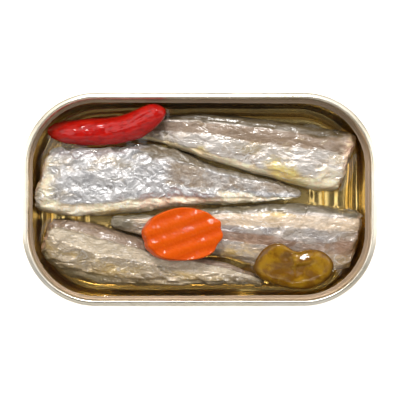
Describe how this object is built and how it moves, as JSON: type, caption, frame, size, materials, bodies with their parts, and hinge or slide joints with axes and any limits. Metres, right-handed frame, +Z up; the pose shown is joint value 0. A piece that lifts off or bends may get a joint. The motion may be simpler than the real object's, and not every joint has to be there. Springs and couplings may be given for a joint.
{
  "type": "open sardine tin",
  "caption": "Open oblong tin with round corners and a crimped rim, holding fish in golden oil with a red chili, a crinkle-cut carrot slice and a gherkin slice.",
  "frame": {"origin": "middle of the tin's underside, on the surface it stands on", "axes": "+X along the tin's long side, +Y across it to the side where the chili lies, +Z up out of the open mouth"},
  "size_m": [0.109, 0.0658, 0.025],
  "materials": {
    "tin_metal": "drawn aluminium, champagne outside and gold lacquer inside",
    "rim_metal": "satin champagne aluminium, crimped seam with a torn inner ledge",
    "fish_skin": "wet silver fish skin, finely crinkled, with an olive back and a cream belly",
    "chili_skin": "wet glossy red pepper skin",
    "carrot_flesh": "moist orange carrot, ridge cut",
    "gherkin_flesh": "translucent olive-amber pickled gherkin, wet",
    "golden_oil": "clear golden oil"
  },
  "bodies": {
    "root": {"tin_body": "tin_metal", "lid_ring": "rim_metal", "sardine_back_right": "fish_skin", "sardine_middle_left": "fish_skin", "sardine_middle_right": "fish_skin", "sardine_front_left": "fish_skin", "chili": "chili_skin", "carrot_slice": "carrot_flesh", "gherkin_slice": "gherkin_flesh", "oil": "golden_oil"}
  },
  "joints": []
}
